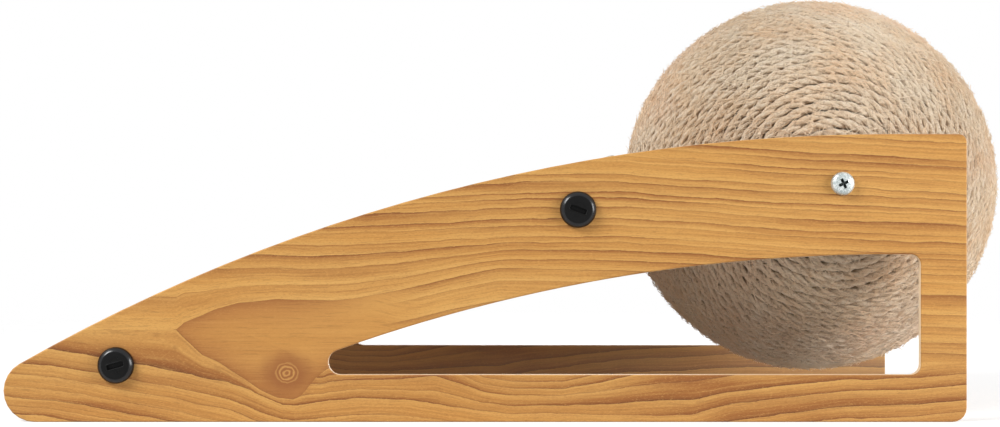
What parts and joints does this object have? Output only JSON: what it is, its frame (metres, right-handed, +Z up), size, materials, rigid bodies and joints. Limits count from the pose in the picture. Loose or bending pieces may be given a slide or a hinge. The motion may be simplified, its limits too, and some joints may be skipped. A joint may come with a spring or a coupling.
{
  "type": "cat scratching ramp",
  "caption": "Cat scratching ramp with bowed wooden side panels, a sloping woven mat and a rope-wound ball that spins on an axle at the high end.",
  "frame": {"origin": "on the floor, under the middle of the whole object's box", "axes": "+X up the ramp towards the ball, +Y to the left when climbing, +Z up"},
  "size_m": [0.518, 0.2338, 0.2188],
  "materials": {
    "oiled_wood": "satin",
    "black_plastic": "satin",
    "zinc_plated_steel": "bright",
    "shell_plastic": "matte",
    "nylon": "matte",
    "jute_rope": "matte",
    "sisal_mat": "matte"
  },
  "bodies": {
    "frame": {"side_panel_right": "oiled_wood", "side_panel_left": "oiled_wood", "lower_cross_rail": "oiled_wood", "upper_cross_rail": "oiled_wood", "ramp_board": "oiled_wood", "scratch_mat": "sisal_mat", "coin_bolt_lower_right": "black_plastic", "coin_bolt_lower_left": "black_plastic", "coin_bolt_upper_right": "black_plastic", "coin_bolt_upper_left": "black_plastic", "rail_insert_lower_right": "zinc_plated_steel", "rail_insert_lower_left": "zinc_plated_steel", "rail_insert_upper_right": "zinc_plated_steel", "rail_insert_upper_left": "zinc_plated_steel", "board_screw_lower_right": "zinc_plated_steel", "board_screw_lower_left": "zinc_plated_steel", "board_screw_upper_right": "zinc_plated_steel", "board_screw_upper_left": "zinc_plated_steel", "axle_rod": "zinc_plated_steel", "axle_screw_right": "zinc_plated_steel", "axle_screw_left": "zinc_plated_steel", "axle_spacer_right": "nylon", "axle_spacer_left": "nylon"},
    "ball": {"ball_shell_right": "shell_plastic", "ball_shell_left": "shell_plastic", "hub_bush_right": "nylon", "hub_bush_left": "nylon", "rope_winding": "jute_rope"}
  },
  "joints": [
    {"name": "ball_spin", "type": "hinge", "parent": "frame", "child": "ball", "pos_m": [0.159, 0, 0.1188], "axis": [0, 1, 0], "continuous": true}
  ]
}
